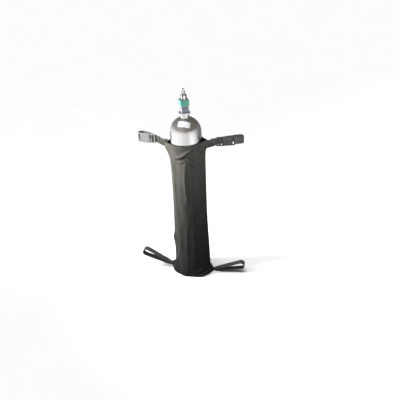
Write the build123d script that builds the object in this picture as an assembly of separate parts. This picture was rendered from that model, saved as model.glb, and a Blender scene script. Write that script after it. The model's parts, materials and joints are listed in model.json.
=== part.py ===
from build123d import *
import os
from math import atan2, cos, degrees, hypot, radians, sin, sqrt

# Oxygen cylinder with a pin-index post valve, in its wheelchair carrier bag.
# Millimetres. +Z is up, the front faces -Y, and the origin is the centre of the
# bag's flat base. The bag's four strap loops hold it to 25.4 mm frame tubes.

# ---- cylinder: aluminium, E size ----
CYL_R = 55.65                  # outside radius
CYL_WALL = 5.6
CYL_BOTTOM = 2.0               # stands on the bag's base panel
CYL_FLOOR = 9.0
BASE_FILLET = 12.0
SHOULDER_Z = 588.0             # where the straight wall ends and the dome starts
NECK_R = 15.5
NECK_TOP = 649.5
NECK_BORE_R = 9.5
O_RING_SEAT_R = 12.5
O_RING_SEAT_DEPTH = 2.6
LABEL_SIZE = (42.0, 22.0)
LABEL_THICK = 0.25

# ---- valve: post type, yoke connection ----
VALVE_TURN = 27.0              # degrees the outlet face is turned to +X
SPIGOT_R = 9.3
SPIGOT_BOTTOM = 618.0
COLLAR_BOTTOM = 652.0
COLLAR_TOP = 661.5
COLLAR_FLATS = 35.0            # across the flats
COLLAR_RIM_R = 20.4
POST_WIDTH = 28.0
POST_DEPTH = 25.4
POST_TOP = 707.0
POST_EDGE = 2.2
POST_TOP_EDGE = 0.8
INLET_R = 2.5
SEAT_Z = 684.0
CHAMBER_R = 6.5
NUT_SOCKET_R = 8.6
NUT_SOCKET_Z = 703.0
OUTLET_Z = 691.0
OUTLET_R = 3.5
PIN_HOLE_R = 2.38
PIN_HOLE_DEPTH = 5.5
PIN_CIRCLE_R = 14.29           # pin holes lie on this circle round the outlet
PIN_HALF_ANGLE = 18.0          # degrees each side of straight down
RECESS_R = 4.5                 # cone that the yoke's screw bears in
RECESS_DEPTH = 3.4
RELIEF_Z = 671.0
RELIEF_R = 3.6
RELIEF_DEPTH = 7.0
RELIEF_VENT_R = 1.2

NUT_FLATS = 20.0
NUT_TOP = 722.0
NUT_CONE_TOP = 727.0
STEM_R = 5.0
STEM_CLEAR = 0.05              # radial running clearance
STEM_TOP = 743.5
TANG = (6.4, 9.0)              # flats that the key turns
FLANGE_Z = 708.0
FLANGE_R = 6.5
WASHER_TOP = 712.5
GASKET_TOP = 716.0
TONGUE = (2.0, 8.0)
TONGUE_BOTTOM = 701.0
PLUG_THREAD_R = 6.44
PLUG_THREAD_Z = 695.0
PLUG_TOP = 702.5
PLUG_STEM_R = 4.6
DISC_Z = 684.1
DISC_TOP = 686.5
DISC_R = 3.6

SEAL_BOTTOM = 685.0
SEAL_TOP = 705.5
SEAL_GAP = 0.4
SEAL_WALL = 1.5
SEAL_TAB = (9.0, 8.0)          # tear tab: length out, height

# ---- carrier bag ----
BAG_R = 56.4                   # inside radius
CLOTH = 1.8
BAG_TOP = 557.7
BASE_THICK = 2.0
SEAM_X = 67.0                  # side seam, where the two panels meet
SEAM_THICK = 3.6
HEM_BOTTOM = 540.0
HEM_THICK = 1.2

# ---- webbing and buckles ----
TUBE_R = 12.7                  # the frame tube that each loop goes round
WEB = 1.6                      # webbing thickness
WEB_WIDTH = 25.0
STRAP_X = 70.0                 # strap line starts at the seam's outer edge
STRAP_Y = -3.3
STRAP_T = 2.9                  # depth of the buckle's bars behind the webbing
BAR_R = 2.0
TAB_ROOT = 1.0                 # where the tab's webbing starts along the strap line
TAIL_LENGTH = 28.0             # loose end, between the ladder frame and the tab
TAIL_BEND = 1.5
LOOP_END = 2.0                 # where the loop's back run is sewn down
LADDER_BAR = 13.0              # ladder bar's distance into the male half
LADDER_OPENING = 15.5
FEMALE_THICK = 9.0
CAVITY_THICK = 5.2
MALE_LENGTH = 26.0
FEMALE_LENGTH = 34.0
BUCKLE_WIDTH = 34.0
# three-cornered gusset in front of the tab, drawn along the strap: (distance out, height)
GUSSET = {
    "left": [(-1.6, -26), (37, -14), (40, -11.5), (39, -8), (4, 4.7), (-1.6, 4.7)],
    "right": [(-1.6, -22), (33, -14.5), (35.6, -12), (35, -9), (4, 8.5), (-1.6, 8.5)],
}
GUSSET_T = (3.0, 4.85)
CANE = {"left": (171.5, 40.0), "right": (186.0, 40.0)}
CANE_DEPTH = {"left": 21.0, "right": 13.5}      # cane centre behind the strap line
STRAP_Z = {"left": 553.0, "right": 549.0}
MALE_START = {"left": 46.0, "right": 37.0}
LOWER_TUBE = {"left": (-188.0, 70.0), "right": (190.0, 34.0)}
EAR = {"left": (-90.0, 21.0), "right": (88.0, 6.0)}

# outline of each side seam's binding beyond the panels, from the base upwards:
# a corner at the top where the strap pulls, and an ear at the base
BINDING = {
    "left": [(67, 0), (80, 0), (86, 7), (89.6, 15), (90, 19), (90, 24), (89, 28), (75, 30.5),
             (70.5, 42), (70, 380), (73, 470), (82, 526), (80, 552), (76, 557.7), (67, 557.7)],
    "right": [(67, 0), (86, 0), (88, 3), (88, 9), (83, 14.5), (73, 16.5), (69.5, 24),
              (70, 440), (72, 500), (81, 532), (80, 552), (76, 557.7), (67, 557.7)],
}


def solid_of_revolution(points):
    """Turn a closed outline of (radius, z) points about Z."""
    face = make_face(Polyline([(r, 0, z) for r, z in points], close=True))
    return revolve(face, Axis.Z)


def tube(outer, inner, low, high):
    """Plain ring about Z between two heights."""
    ring = Pos(0, 0, low) * extrude(Circle(outer) - Circle(inner), high - low)
    return ring


def rod(radius, low, high):
    """Plain round bar about Z between two heights."""
    return Pos(0, 0, low) * extrude(Circle(radius), high - low)


def block(size, centre):
    """Box of a size at a centre."""
    return Pos(*centre) * Box(*size)


def hull_of(*shapes):
    """Convex outline round 2-D shapes."""
    edges = []
    for shape in shapes:
        edges += list(shape.edges())
    return make_hull(edges)


def save(shape, node):
    """Write one sub-part; compounds of one solid are written as that solid."""
    solids = shape.solids()
    body = solids[0] if len(solids) == 1 else Compound(children=list(solids))
    export_step(body, f"parts/{node}.step")


# ---------------------------------------------------------------- cylinder

def dome_profile(radius, floor_z, corner, neck_r, top_z):
    """Half outline of a closed-end shell: flat floor, wall, round dome, neck."""
    neck_z = SHOULDER_Z + sqrt(radius ** 2 - neck_r ** 2)
    middle = radians(45)
    inset = corner * (1 - cos(middle))
    outline = [
        Line((0, 0, floor_z), (radius - corner, 0, floor_z)),
        ThreePointArc((radius - corner, 0, floor_z), (radius - inset, 0, floor_z + inset),
                      (radius, 0, floor_z + corner)),
        Line((radius, 0, floor_z + corner), (radius, 0, SHOULDER_Z)),
        ThreePointArc((radius, 0, SHOULDER_Z),
                      (radius * cos(middle), 0, SHOULDER_Z + radius * sin(middle)),
                      (neck_r, 0, neck_z)),
        Line((neck_r, 0, neck_z), (neck_r, 0, top_z)),
        Line((neck_r, 0, top_z), (0, 0, top_z)),
        Line((0, 0, top_z), (0, 0, floor_z)),
    ]
    return make_face(Wire(outline))


def cylinder_shell():
    outside = revolve(dome_profile(CYL_R, CYL_BOTTOM, BASE_FILLET, NECK_R, NECK_TOP), Axis.Z)
    inside_r = CYL_R - CYL_WALL
    inside = revolve(dome_profile(inside_r, CYL_BOTTOM + CYL_FLOOR, BASE_FILLET,
                                  NECK_BORE_R, NECK_TOP + 1), Axis.Z)
    seat = rod(O_RING_SEAT_R, NECK_TOP - O_RING_SEAT_DEPTH, NECK_TOP + 1)
    return outside - inside - seat


def shoulder_label():
    """Blank paper label lying on the dome, slanted down to the right."""
    outward = Vector(0.08, -0.66, 0.75)
    across = Vector(0.97, 0.10, -0.2)
    across = across - outward * (across.dot(outward) / outward.dot(outward))
    plane = Plane(origin=(0, 0, SHOULDER_Z), x_dir=across, z_dir=outward)
    patch = plane * extrude(RectangleRounded(*LABEL_SIZE, 2.0), CYL_R + 5)
    skin = Sphere(CYL_R + LABEL_THICK) - Sphere(CYL_R + 0.01)
    return (Pos(0, 0, SHOULDER_Z) * skin) & patch


def neck_o_ring():
    wire_r = O_RING_SEAT_DEPTH / 2
    ring_r = O_RING_SEAT_R - wire_r - 0.25
    return Pos(0, 0, NECK_TOP - wire_r) * Torus(ring_r, wire_r)


# ---------------------------------------------------------------- valve
# Valve pieces are drawn with the outlet facing -Y, then turned by VALVE_TURN.

def turned(shape):
    return Rot(0, 0, VALVE_TURN) * shape


def along_y(radius, z, near, far):
    """Round bar along Y at height z between two y values."""
    return Pos(0, near, z) * Rot(-90, 0, 0) * extrude(Circle(radius), far - near)


def valve_body():
    spigot = rod(SPIGOT_R, SPIGOT_BOTTOM, NECK_TOP)
    foot = rod(NECK_R - 0.3, NECK_TOP, COLLAR_BOTTOM)
    hexagon = RegularPolygon(COLLAR_FLATS / 2, 6, major_radius=False)
    collar = Pos(0, 0, COLLAR_BOTTOM) * extrude(hexagon, COLLAR_TOP - COLLAR_BOTTOM)
    cone = solid_of_revolution([(0, COLLAR_BOTTOM), (17.2, COLLAR_BOTTOM),
                                (COLLAR_RIM_R, COLLAR_BOTTOM + 4), (COLLAR_RIM_R, COLLAR_TOP - 2),
                                (17.6, COLLAR_TOP), (0, COLLAR_TOP)])
    rim = tube(COLLAR_RIM_R, 14.0, COLLAR_TOP - 3.4, COLLAR_TOP - 2.0)
    section = Rectangle(POST_WIDTH, POST_DEPTH)
    section = chamfer(section.vertices(), POST_EDGE)
    post = Pos(0, 0, COLLAR_TOP) * extrude(section, POST_TOP - COLLAR_TOP)
    post = chamfer(post.edges().group_by(Axis.Z)[-1], POST_TOP_EDGE)
    body = spigot + foot + (collar & cone) + rim + post

    half = POST_DEPTH / 2
    body -= rod(INLET_R, SPIGOT_BOTTOM - 1, SEAT_Z + 1)
    body -= rod(4.0, SPIGOT_BOTTOM - 1, SPIGOT_BOTTOM + 6)
    body -= rod(CHAMBER_R, SEAT_Z, NUT_SOCKET_Z + 1)
    body -= rod(NUT_SOCKET_R, NUT_SOCKET_Z, POST_TOP + 1)
    body -= along_y(OUTLET_R, OUTLET_Z, -half - 1, -1)
    for side in (-1, 1):
        x = side * PIN_CIRCLE_R * sin(radians(PIN_HALF_ANGLE))
        z = OUTLET_Z - PIN_CIRCLE_R * cos(radians(PIN_HALF_ANGLE))
        body -= Pos(x, 0, 0) * along_y(PIN_HOLE_R, z, -half - 1, -half + PIN_HOLE_DEPTH)
    recess = Pos(0, half - RECESS_DEPTH / 2, OUTLET_Z) * Rot(-90, 0, 0)
    body -= recess * Cone(0.4, RECESS_R, RECESS_DEPTH)
    body -= along_y(RELIEF_R, RELIEF_Z, half - RELIEF_DEPTH, half + 1)
    body -= along_y(RELIEF_VENT_R, RELIEF_Z, 0, half)
    return turned(body)


def debris_tube():
    """Keeps scale out of the valve: a thin tube down into the cylinder."""
    return tube(4.0, INLET_R, 572.0, SPIGOT_BOTTOM + 6)


def relief_pieces():
    """Burst disc, its gasket and the vented plug that clamps them."""
    half = POST_DEPTH / 2
    bottom = half - RELIEF_DEPTH
    disc = along_y(RELIEF_R - 0.1, RELIEF_Z, bottom, bottom + 0.4)
    gasket = along_y(RELIEF_R - 0.1, RELIEF_Z, bottom + 0.4, bottom + 1.4)
    gasket -= along_y(1.6, RELIEF_Z, bottom, bottom + 2)
    shank = along_y(RELIEF_R - 0.05, RELIEF_Z, bottom + 1.4, half)
    head = Pos(0, half, RELIEF_Z) * Rot(-90, 0, 0)
    head = head * extrude(RegularPolygon(4.8, 6, major_radius=False), 4.0)
    plug = shank + head
    plug -= along_y(1.6, RELIEF_Z, bottom, half + 2.4)
    for angle in (0, 60, 120):
        vent = Pos(0, half + 2.0, RELIEF_Z) * Rot(0, angle, 0) * Cylinder(0.7, 12)
        plug -= vent
    return {"burst_disc": turned(disc), "relief_gasket": turned(gasket), "relief_plug": turned(plug)}


def packing_nut():
    hexagon = RegularPolygon(NUT_FLATS / 2, 6, major_radius=False)
    corner = NUT_FLATS / 2 / cos(radians(30))
    head = Pos(0, 0, POST_TOP) * extrude(hexagon, NUT_TOP - POST_TOP)
    head &= solid_of_revolution([(0, POST_TOP), (corner - 0.9, POST_TOP), (corner + 0.1, POST_TOP + 1.4),
                                 (corner + 0.1, NUT_TOP - 2.2), (9.4, NUT_TOP), (0, NUT_TOP)])
    cone = solid_of_revolution([(0, NUT_TOP), (9.2, NUT_TOP), (7.4, NUT_CONE_TOP), (0, NUT_CONE_TOP)])
    spigot = rod(NUT_SOCKET_R - 0.1, NUT_SOCKET_Z + 0.3, POST_TOP)
    nut = head + cone + spigot
    nut -= rod(STEM_R + STEM_CLEAR, NUT_SOCKET_Z, NUT_CONE_TOP + 1)
    nut -= rod(FLANGE_R + 0.5, NUT_SOCKET_Z, GASKET_TOP)
    return turned(nut)


def packing_washer():
    return tube(FLANGE_R + 0.4, STEM_R + STEM_CLEAR, FLANGE_Z + 3.05, WASHER_TOP)


def packing_gasket():
    return tube(FLANGE_R + 0.4, STEM_R + STEM_CLEAR, WASHER_TOP, GASKET_TOP)


def spindle():
    """Stem that the key turns: tang on top, flange and drive tongue below."""
    stem = rod(STEM_R, FLANGE_Z, 736.0)
    flange = rod(FLANGE_R, FLANGE_Z, FLANGE_Z + 3.0)
    tang = block((TANG[0], TANG[1], STEM_TOP - 735.0), (0, 0, (STEM_TOP + 735.0) / 2))
    tang &= solid_of_revolution([(0, 735.0), (STEM_R, 735.0), (STEM_R, STEM_TOP - 2.0),
                                 (STEM_R - 1.4, STEM_TOP), (0, STEM_TOP)])
    height = FLANGE_Z - TONGUE_BOTTOM
    tongue = block((TONGUE[0], TONGUE[1], height), (0, 0, TONGUE_BOTTOM + height / 2))
    return turned(stem + flange + tang + tongue)


def stem_collar():
    """Tapered collar pressed on the stem above the packing nut."""
    collar = solid_of_revolution([(STEM_R, NUT_CONE_TOP + 0.4), (7.4, NUT_CONE_TOP + 0.4),
                                  (7.4, NUT_CONE_TOP + 1.6), (5.6, 735.5), (STEM_R, 735.5)])
    return collar


def seat_plug():
    """Screwed plug that lifts the seat disc off the seat as the spindle turns."""
    thread = rod(PLUG_THREAD_R, PLUG_THREAD_Z, PLUG_TOP)
    stem = rod(PLUG_STEM_R, DISC_TOP, PLUG_THREAD_Z)
    plug = thread + stem
    slot_depth = 4.5
    slot = block((TONGUE[0] + 0.4, 20, slot_depth), (0, 0, PLUG_TOP - slot_depth / 2))
    return turned(plug - slot)


def seat_disc():
    return rod(DISC_R, DISC_Z, DISC_TOP)


def seal_band():
    """Plastic tamper band shrunk round the top of the post, with a tear tab."""
    inner = RectangleRounded(POST_WIDTH + 2 * SEAL_GAP, POST_DEPTH + 2 * SEAL_GAP, 1.2)
    outer_w = POST_WIDTH + 2 * (SEAL_GAP + SEAL_WALL)
    outer_d = POST_DEPTH + 2 * (SEAL_GAP + SEAL_WALL)
    band = extrude(RectangleRounded(outer_w, outer_d, 2.7) - inner, SEAL_TOP - SEAL_BOTTOM)
    band = Pos(0, 0, SEAL_BOTTOM) * band
    out, tall = SEAL_TAB
    tab_x = -outer_w / 2 + 2.6
    tab = block((1.4, out, tall), (tab_x, -outer_d / 2 - out / 2 + 0.6, SEAL_TOP - tall / 2))
    tab = Pos(tab_x, -outer_d / 2 + 0.6, 0) * Rot(0, 0, -38) * Pos(-tab_x, outer_d / 2 - 0.6, 0) * tab
    return turned(band + tab)


# ---------------------------------------------------------------- bag

def bag_outline(offset):
    """Plan of the envelope bag: a circle drawn out to the two side seams."""
    circle = Circle(BAG_R + offset)
    wide = 2 * SEAM_X - 2 * 3.0 * (CLOTH - offset) / CLOTH if offset < CLOTH else 2 * SEAM_X
    thick = SEAM_THICK * offset / CLOTH if offset > 0 else 0.2
    return hull_of(circle, Rectangle(wide, thick))


def half_space(sign):
    """Everything on one side of the plane of the side seams."""
    return block((400, 200, 1400), (0, sign * 100, 500))


def bag_panel(sign):
    wall = extrude(bag_outline(CLOTH) - bag_outline(0), BAG_TOP)
    return wall & half_space(sign)


def bag_base_panel():
    return extrude(bag_outline(0), BASE_THICK)


def rim_hem(sign):
    """Folded hem round the mouth, outside a panel."""
    band = extrude(bag_outline(CLOTH + HEM_THICK) - bag_outline(CLOTH), BAG_TOP - HEM_BOTTOM)
    return (Pos(0, 0, HEM_BOTTOM) * band) & half_space(sign)


def seam_binding(side):
    """Flat binding along a side seam, its ear at the base and its gusset at the strap."""
    sign = -1 if side == "left" else 1
    outline = Polyline([(sign * x, 0, z) for x, z in BINDING[side]], close=True)
    fin = extrude(make_face(outline), SEAM_THICK / 2, dir=(0, 1, 0), both=True)
    near, far = GUSSET_T
    corner = make_face(Polyline([(s, near, z) for s, z in GUSSET[side]], close=True))
    return fin + place_strap(extrude(corner, far - near, dir=(0, 1, 0)), side)


# ---------------------------------------------------------------- straps
# An upper strap is drawn with s (X) running out from the seam along the strap,
# t (Y) running back from its face and z from its own centre, then placed.

def strap_frame(side):
    """Angle of the strap line in plan and distance along it to the cane."""
    cane_x, cane_y = CANE[side]
    run = hypot(cane_x - STRAP_X, cane_y - STRAP_Y)
    depth = CANE_DEPTH[side]
    along = sqrt(run ** 2 - depth ** 2)
    angle = atan2(cane_y - STRAP_Y, cane_x - STRAP_X) - atan2(depth, along)
    return degrees(angle), along


def place_strap(shape, side):
    angle, _ = strap_frame(side)
    placed = Pos(STRAP_X, STRAP_Y, STRAP_Z[side]) * Rot(0, 0, angle) * shape
    return mirror(placed, Plane.YZ) if side == "left" else placed


def webbing(section):
    """Give a plan outline in (s, t) the width of the webbing."""
    return Pos(0, 0, -WEB_WIDTH / 2) * extrude(section, WEB_WIDTH)


def bar_s(side):
    return MALE_START[side] + MALE_LENGTH + FEMALE_LENGTH + 4.5


def upper_tab(side):
    """Webbing from the seam, behind the ladder frame, over its bar and back as a tail."""
    bar = MALE_START[side] + LADDER_BAR
    bend = BAR_R + 0.1 + WEB / 2
    tail_t = STRAP_T + bend
    load_t = tail_t + WEB + 0.2
    eased = bend * sqrt(0.5)
    near = bar - bend - TAIL_BEND
    tail_end = bar - TAIL_LENGTH
    route = Wire([
        Line((TAB_ROOT, tail_t), (tail_end - 10, tail_t)),
        Line((tail_end - 10, tail_t), (tail_end - 1, load_t)),
        Line((tail_end - 1, load_t), (bar, load_t)),
        ThreePointArc((bar, load_t), (bar + eased, load_t - bend + eased), (bar + bend, load_t - bend)),
        Line((bar + bend, load_t - bend), (bar + bend, STRAP_T)),
        ThreePointArc((bar + bend, STRAP_T), (bar, STRAP_T - bend), (bar - bend, STRAP_T)),
        Line((bar - bend, STRAP_T), (bar - bend, tail_t - TAIL_BEND)),
        ThreePointArc((bar - bend, tail_t - TAIL_BEND),
                      (near + TAIL_BEND * sqrt(0.5), tail_t - TAIL_BEND * (1 - sqrt(0.5))),
                      (near, tail_t)),
        Line((near, tail_t), (tail_end, tail_t)),
    ])
    return place_strap(webbing(trace(route, WEB)), side)


def upper_loop(side):
    """Webbing from the buckle's bar, round the cane and back to the seam."""
    _, along = strap_frame(side)
    cane = Pos(along, CANE_DEPTH[side])
    bar = Pos(bar_s(side), STRAP_T)
    end_t = STRAP_T + BAR_R + 0.1 + WEB - 0.3
    end = Pos(LOOP_END, end_t)
    inner = hull_of(cane * Circle(TUBE_R), bar * Circle(BAR_R + 0.1), end * Circle(0.3))
    outer = hull_of(cane * Circle(TUBE_R + WEB), bar * Circle(BAR_R + 0.1 + WEB),
                    end * Circle(0.3 + WEB))
    front_run = make_face(Polyline([(LOOP_END - 9, -9), (bar_s(side), -9), (bar_s(side), STRAP_T),
                                    (LOOP_END, end_t), (LOOP_END, end_t + 9),
                                    (LOOP_END - 9, end_t + 9)], close=True))
    return place_strap(webbing(outer - inner - front_run), side)


def lay(shape, side):
    """Stand a buckle piece, drawn flat with its width along Y, on edge in the strap."""
    return place_strap(Pos(0, STRAP_T, 0) * Rot(90, 0, 0) * shape, side)


def slab(length, width, thick, corner, edge):
    """Flat moulding centred at the origin: rounded corners and eased rims."""
    body = Pos(0, 0, -thick / 2) * extrude(RectangleRounded(length, width, corner), thick)
    rims = body.edges().group_by(Axis.Z)
    return chamfer(rims[0] + rims[-1], edge)


def buckle_male(side):
    """Ladder-lock frame and centre guide of the side-release buckle."""
    start = MALE_START[side]
    middle = start + MALE_LENGTH / 2
    frame = Pos(middle, 0, 0) * slab(MALE_LENGTH, BUCKLE_WIDTH, 4.0, 3.0, 0.6)
    opening = extrude(RectangleRounded(LADDER_OPENING, BUCKLE_WIDTH - 7, 1.0), 5, both=True)
    window = Pos(start + 12.75, 0, 0) * opening
    shoulder = Pos(start + MALE_LENGTH - 2.75, 0, 0) * slab(5.5, BUCKLE_WIDTH, 8.0, 1.0, 0.8)
    guide = Pos(start + MALE_LENGTH + 10.0, 0, 0) * slab(24.0, 6.0, 2.8, 2.0, 0.4)
    bar = Pos(start + LADDER_BAR, 0, 0) * Rot(90, 0, 0) * Cylinder(BAR_R, BUCKLE_WIDTH - 4)
    return lay((frame - window) + shoulder + guide + bar, side)


def buckle_female(side):
    """Box of the buckle, with side windows and a bar for the loop."""
    start = MALE_START[side] + MALE_LENGTH
    length = FEMALE_LENGTH - 2
    body = block((length, BUCKLE_WIDTH, FEMALE_THICK), (start + length / 2, 0, 0))
    body = fillet(body.edges().filter_by(Axis.X), 3.0)
    body = chamfer(body.edges().group_by(Axis.X)[-1], 0.8)
    mouth = block((27.0, 26.0, CAVITY_THICK), (start + 13.4, 0, 0))
    side_windows = block((13.5, BUCKLE_WIDTH + 4, CAVITY_THICK), (start + 18.75, 0, 0))
    panel = extrude(RectangleRounded(18.0, 15.0, 3.0), 1.0, both=True)
    panels = [Pos(start + 17.0, 0, face * (FEMALE_THICK / 2 + 0.6)) * panel for face in (-1, 1)]
    rails = Pos(start + FEMALE_LENGTH + 2.0, 0, 0) * slab(10.0, BUCKLE_WIDTH, 5.0, 2.5, 0.7)
    rails -= block((12.0, BUCKLE_WIDTH - 7, 8.0), (start + FEMALE_LENGTH + 3.0, 0, 0))
    bar = Pos(start + FEMALE_LENGTH + 4.5, 0, 0) * Rot(90, 0, 0) * Cylinder(BAR_R, BUCKLE_WIDTH - 4)
    female = (body - mouth - side_windows - panels[0] - panels[1]) + rails + bar
    return lay(female, side)


def buckle_prong(side, sign):
    """One sprung arm of the buckle, with the barbed head that locks it."""
    start = MALE_START[side] + MALE_LENGTH + 0.3
    outline = [(start, 8.4), (start + 23.5, 9.4), (start + 24.5, 12.5), (start + 16.0, 16.6),
               (start + 13.4, 16.6), (start + 13.0, 11.8), (start, 11.8)]
    face = make_face(Polyline([(s, sign * z) for s, z in outline], close=True))
    face = fillet(face.vertices().sort_by(Axis.X)[2:], 0.8)
    return lay(extrude(face, 1.9, both=True), side)


def lower_loop(side):
    """Webbing loop from the ear at the base, round the lower frame tube."""
    tube_x, tube_z = LOWER_TUBE[side]
    ear_x, ear_z = EAR[side]
    sign = -1 if side == "left" else 1
    start = Pos(ear_x + sign * (0.3 + WEB), ear_z)
    centre = Pos(tube_x, tube_z)
    outer = hull_of(centre * Circle(TUBE_R + WEB), start * Circle(0.3 + WEB))
    inner = hull_of(centre * Circle(TUBE_R), start * Circle(0.3))
    loop = extrude(outer - inner, WEB_WIDTH / 2, both=True)
    return Rot(90, 0, 0) * loop


# ---------------------------------------------------------------- build

def main():
    os.makedirs("parts", exist_ok=True)
    nodes = {
        "cylinder_shell": cylinder_shell(),
        "shoulder_label": shoulder_label(),
        "neck_o_ring": neck_o_ring(),
        "valve_body": valve_body(),
        "debris_tube": debris_tube(),
        "packing_nut": packing_nut(),
        "packing_washer": packing_washer(),
        "packing_gasket": packing_gasket(),
        "spindle": spindle(),
        "stem_collar": stem_collar(),
        "seat_plug": seat_plug(),
        "seat_disc": seat_disc(),
        "seal_band": seal_band(),
        "bag_front_panel": bag_panel(-1),
        "bag_back_panel": bag_panel(1),
        "bag_base_panel": bag_base_panel(),
        "front_rim_hem": rim_hem(-1),
        "back_rim_hem": rim_hem(1),
    }
    nodes.update(relief_pieces())
    for side in ("left", "right"):
        nodes[f"{side}_seam_binding"] = seam_binding(side)
        nodes[f"upper_{side}_tab"] = upper_tab(side)
        nodes[f"upper_{side}_loop"] = upper_loop(side)
        nodes[f"lower_{side}_loop"] = lower_loop(side)
        nodes[f"{side}_buckle_male"] = buckle_male(side)
        nodes[f"{side}_buckle_female"] = buckle_female(side)
        nodes[f"{side}_buckle_prong_top"] = buckle_prong(side, 1)
        nodes[f"{side}_buckle_prong_bottom"] = buckle_prong(side, -1)
    for node, shape in nodes.items():
        save(shape, node)


main()
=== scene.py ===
import json
import math

import bmesh
import bpy
import numpy as np
from mathutils import Matrix, Vector


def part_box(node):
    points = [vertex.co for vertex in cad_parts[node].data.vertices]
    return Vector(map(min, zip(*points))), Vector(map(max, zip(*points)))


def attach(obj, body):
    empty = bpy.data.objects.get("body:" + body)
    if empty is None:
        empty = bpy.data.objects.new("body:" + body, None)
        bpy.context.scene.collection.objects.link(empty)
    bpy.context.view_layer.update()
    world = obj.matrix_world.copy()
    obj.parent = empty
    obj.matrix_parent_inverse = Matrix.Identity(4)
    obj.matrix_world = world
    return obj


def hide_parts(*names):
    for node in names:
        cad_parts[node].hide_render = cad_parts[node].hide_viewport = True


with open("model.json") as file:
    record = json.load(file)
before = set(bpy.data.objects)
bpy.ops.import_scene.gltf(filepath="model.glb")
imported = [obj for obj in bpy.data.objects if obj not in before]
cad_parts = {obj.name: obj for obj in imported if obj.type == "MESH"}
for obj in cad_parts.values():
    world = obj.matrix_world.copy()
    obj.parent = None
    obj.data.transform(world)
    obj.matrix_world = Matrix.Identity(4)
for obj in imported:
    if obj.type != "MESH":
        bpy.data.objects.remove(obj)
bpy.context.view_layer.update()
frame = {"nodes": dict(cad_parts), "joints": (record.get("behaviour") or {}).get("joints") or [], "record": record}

MM = 0.001
UP = np.array((0.0, 0.0, 1.0))

# ---- camera, at the photograph's viewing angle ----
CAMERA_AT = Vector((0.3995, -1.7650, 1.3253))
CAMERA_AIM = Vector((0.0391, 0.0, 0.3160))
CAMERA_ROLL = math.radians(-2.90)
LENS = 50.0

# ---- bag, in millimetres ----
CYLINDER_R = 55.65
CLOTH_THICK = 1.3
LOOSE_R = 58.3                 # outer face of the cloth on average
TIGHT_R = CYLINDER_R + CLOTH_THICK + 0.25      # and at its closest to the cylinder
BASE_ROUND = 7.0               # height of the rounded edge round the base
BASE_Z = 0.3                   # height of the base's underside in the middle
BASE_TUCK = 4.0                # how far that edge turns in
HEM_DEEP = 16.5
HEM_THICK = 0.9
BASE_THICK = 1.5
# how far each side seam stands out from the axis, from the base to the rim
SEAM_OUT = {
    -1: [(0, 79), (7, 85), (15, 88.5), (27, 89), (32, 80), (38, 72), (46, 70.0), (58, 69.0), (80, 68.2),
         (112, 68.4), (128, 70.2), (142, 72.6), (156, 71.4), (172, 67.2), (200, 65.5), (249, 64),
         (314, 62), (380, 60.8), (440, 60.6), (478, 62.5), (500, 67), (516, 73), (530, 78), (545, 79),
         (557.7, 76)],
    1: [(0, 82), (5, 86), (11, 83.5), (16, 74), (22, 69.5), (34, 68.4), (64, 68), (112, 67.2), (158, 66),
        (249, 64), (314, 64), (377, 64.5), (439, 65.5), (478, 66.0), (500, 66.5), (516, 68),
        (528, 72), (539, 78), (548, 79), (557.7, 78)],
}
# height of the rim across each panel, by angle from its middle
RIM = {"front": [(-90, 547), (-60, 552), (-20, 556), (0, 556.5), (60, 557.5), (90, 558)],
       "back": [(-90, 547), (-50, 553), (0, 557), (90, 558)]}
# gathers beside the ears at the base: angle, spread in degrees, height and fullness in mm
BASE_CORNERS = [(-70, 17, 26.0, 12.0), (-44, 20, 20.0, 7.5), (46, 20, 24.0, 10.5), (70, 14, 18.0, 8.0)]

# folds pressed into the cloth: points (angle from the front in degrees, height in mm),
# then the ridge's height and half-width in mm, and how deep the hollow below it is
FRONT_FOLDS = [
    ([(-74, 538), (-56, 518), (-32, 510), (-10, 515), (12, 532), (34, 542)], 6.4, 5.0, 0.9),
    ([(-70, 512), (-52, 490), (-46, 455), (-44, 415), (-45, 372)], 3.0, 6.0, 0.5),
    ([(-36, 496), (-16, 492), (0, 500)], 2.2, 3.6, 0.8),
    ([(32, 484), (22, 498), (8, 512), (-4, 524)], 3.4, 3.0, 0.9),
    ([(37, 498), (23, 512), (10, 526)], 2.8, 2.8, 0.8),
    ([(3, 330), (1, 380), (0, 425), (2, 455), (5, 490)], 4.2, 6.0, 1.0),
    ([(-52, 440), (-46, 380), (-46, 320)], 2.0, 7.0, 0.6),
    ([(-30, 440), (-24, 400), (-27, 350), (-22, 300)], 1.3, 7.0, 0.4),
    ([(40, 500), (46, 440), (44, 360), (47, 280)], 1.2, 8.0, 0.3),
    ([(-3, 245), (-5, 190), (-9, 120), (-8, 60), (-12, 20)], 1.9, 7.0, 0.6),
    ([(-40, 210), (-36, 150), (-40, 90), (-34, 40)], 1.3, 7.0, 0.4),
    ([(22, 230), (26, 160), (20, 100), (26, 60)], 1.2, 8.0, 0.4),
    ([(84, 12), (60, 15), (40, 10), (22, 3)], 4.6, 3.8, 1.0),
    ([(84, 15), (62, 28), (44, 30), (26, 24)], 4.2, 4.2, 1.0),
    ([(82, 22), (66, 46), (50, 62), (36, 70)], 3.2, 5.0, 0.8),
    ([(-84, 38), (-62, 28), (-42, 14), (-26, 4)], 2.8, 4.5, 0.9),
    ([(-84, 42), (-66, 58), (-54, 84), (-48, 120)], 2.2, 5.0, 0.6),
    ([(-80, 172), (-70, 160), (-60, 138)], 2.4, 5.0, 0.6),
    ([(78, 540), (62, 520), (52, 492), (48, 462)], 2.6, 5.0, 0.7),
    ([(76, 524), (66, 500), (62, 470)], 1.8, 4.5, 0.6),
    ([(-84, 486), (-72, 476), (-58, 480)], 2.2, 3.4, 0.7),
    ([(-84, 452), (-74, 446), (-62, 454)], 2.0, 3.4, 0.7),
    ([(-84, 414), (-72, 408), (-62, 398)], 1.8, 3.6, 0.6),
]
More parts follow.
